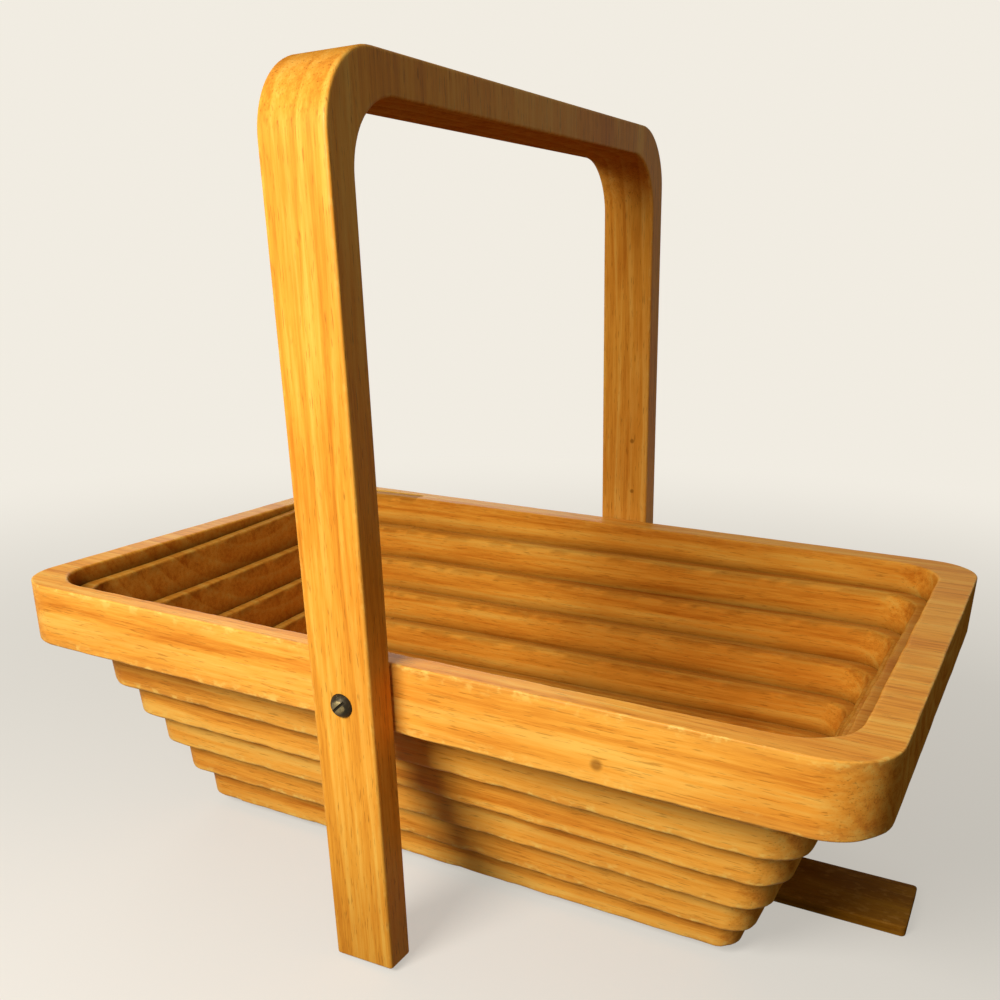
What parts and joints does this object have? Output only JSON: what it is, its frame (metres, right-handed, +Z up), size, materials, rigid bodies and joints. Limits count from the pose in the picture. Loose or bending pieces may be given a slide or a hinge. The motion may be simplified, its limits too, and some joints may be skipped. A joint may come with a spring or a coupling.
{
  "type": "collapsible wooden basket",
  "caption": "Collapsible wooden basket: spiral-cut board whose coil drops from the rim to form a stepped bowl, with a swinging handle and a stay bar under the base.",
  "frame": {"origin": "centre of the basket on the surface that it stands on, under the middle of the base plate", "axes": "+X along the basket's long side, +Y across it, +Z up"},
  "size_m": [0.3274, 0.2394, 0.2698],
  "materials": {
    "rim_wood": "honey-coloured lacquer over wood with the grain along the board",
    "coil_wood": "honey-coloured lacquer over saw-cut wood",
    "base_wood": "honey-coloured lacquer over wood",
    "handle_wood": "honey-coloured lacquer over wood with the grain along the legs",
    "bar_wood": "satin lacquer over wood",
    "screw_metal": "dark aged brass"
  },
  "bodies": {
    "rim": {"rim": "rim_wood", "pivot_screw_near": "screw_metal", "pivot_screw_far": "screw_metal"},
    "turn_1": {"coil_turn_1": "coil_wood"},
    "turn_2": {"coil_turn_2": "coil_wood"},
    "turn_3": {"coil_turn_3": "coil_wood"},
    "turn_4": {"coil_turn_4": "coil_wood"},
    "turn_5": {"coil_turn_5": "coil_wood"},
    "base": {"base_plate": "base_wood", "stay_screw": "screw_metal"},
    "handle": {"handle": "handle_wood"},
    "stay_bar": {"stay_bar": "bar_wood"}
  },
  "joints": [
    {"name": "turn_1_slide", "type": "slide", "parent": "rim", "child": "turn_1", "axis": [0, 0, 1], "range_m": [0, 0.00603]},
    {"name": "turn_2_slide", "type": "slide", "parent": "turn_1", "child": "turn_2", "axis": [0, 0, 1], "range_m": [0, 0.01435]},
    {"name": "turn_3_slide", "type": "slide", "parent": "turn_2", "child": "turn_3", "axis": [0, 0, 1], "range_m": [0, 0.01435]},
    {"name": "turn_4_slide", "type": "slide", "parent": "turn_3", "child": "turn_4", "axis": [0, 0, 1], "range_m": [0, 0.01435]},
    {"name": "turn_5_slide", "type": "slide", "parent": "turn_4", "child": "turn_5", "axis": [0, 0, 1], "range_m": [0, 0.01435]},
    {"name": "base_slide", "type": "slide", "parent": "turn_5", "child": "base", "axis": [0, 0, 1], "range_m": [0, 0.01435]},
    {"name": "handle_swing", "type": "hinge", "parent": "rim", "child": "handle", "pos_m": [0.003, 0, 0.09393], "axis": [0, 1, 0], "range_deg": [-87.5, 92.5]},
    {"name": "stay_bar_swivel", "type": "hinge", "parent": "base", "child": "stay_bar", "pos_m": [0, 0, 0], "axis": [0, 0, 1], "range_deg": [-71, 69]}
  ],
  "couplings": [
    {"joint": "turn_1_slide", "follows": "base_slide", "ratio": 0.42},
    {"joint": "turn_2_slide", "follows": "base_slide", "ratio": 1},
    {"joint": "turn_3_slide", "follows": "base_slide", "ratio": 1},
    {"joint": "turn_4_slide", "follows": "base_slide", "ratio": 1},
    {"joint": "turn_5_slide", "follows": "base_slide", "ratio": 1}
  ]
}
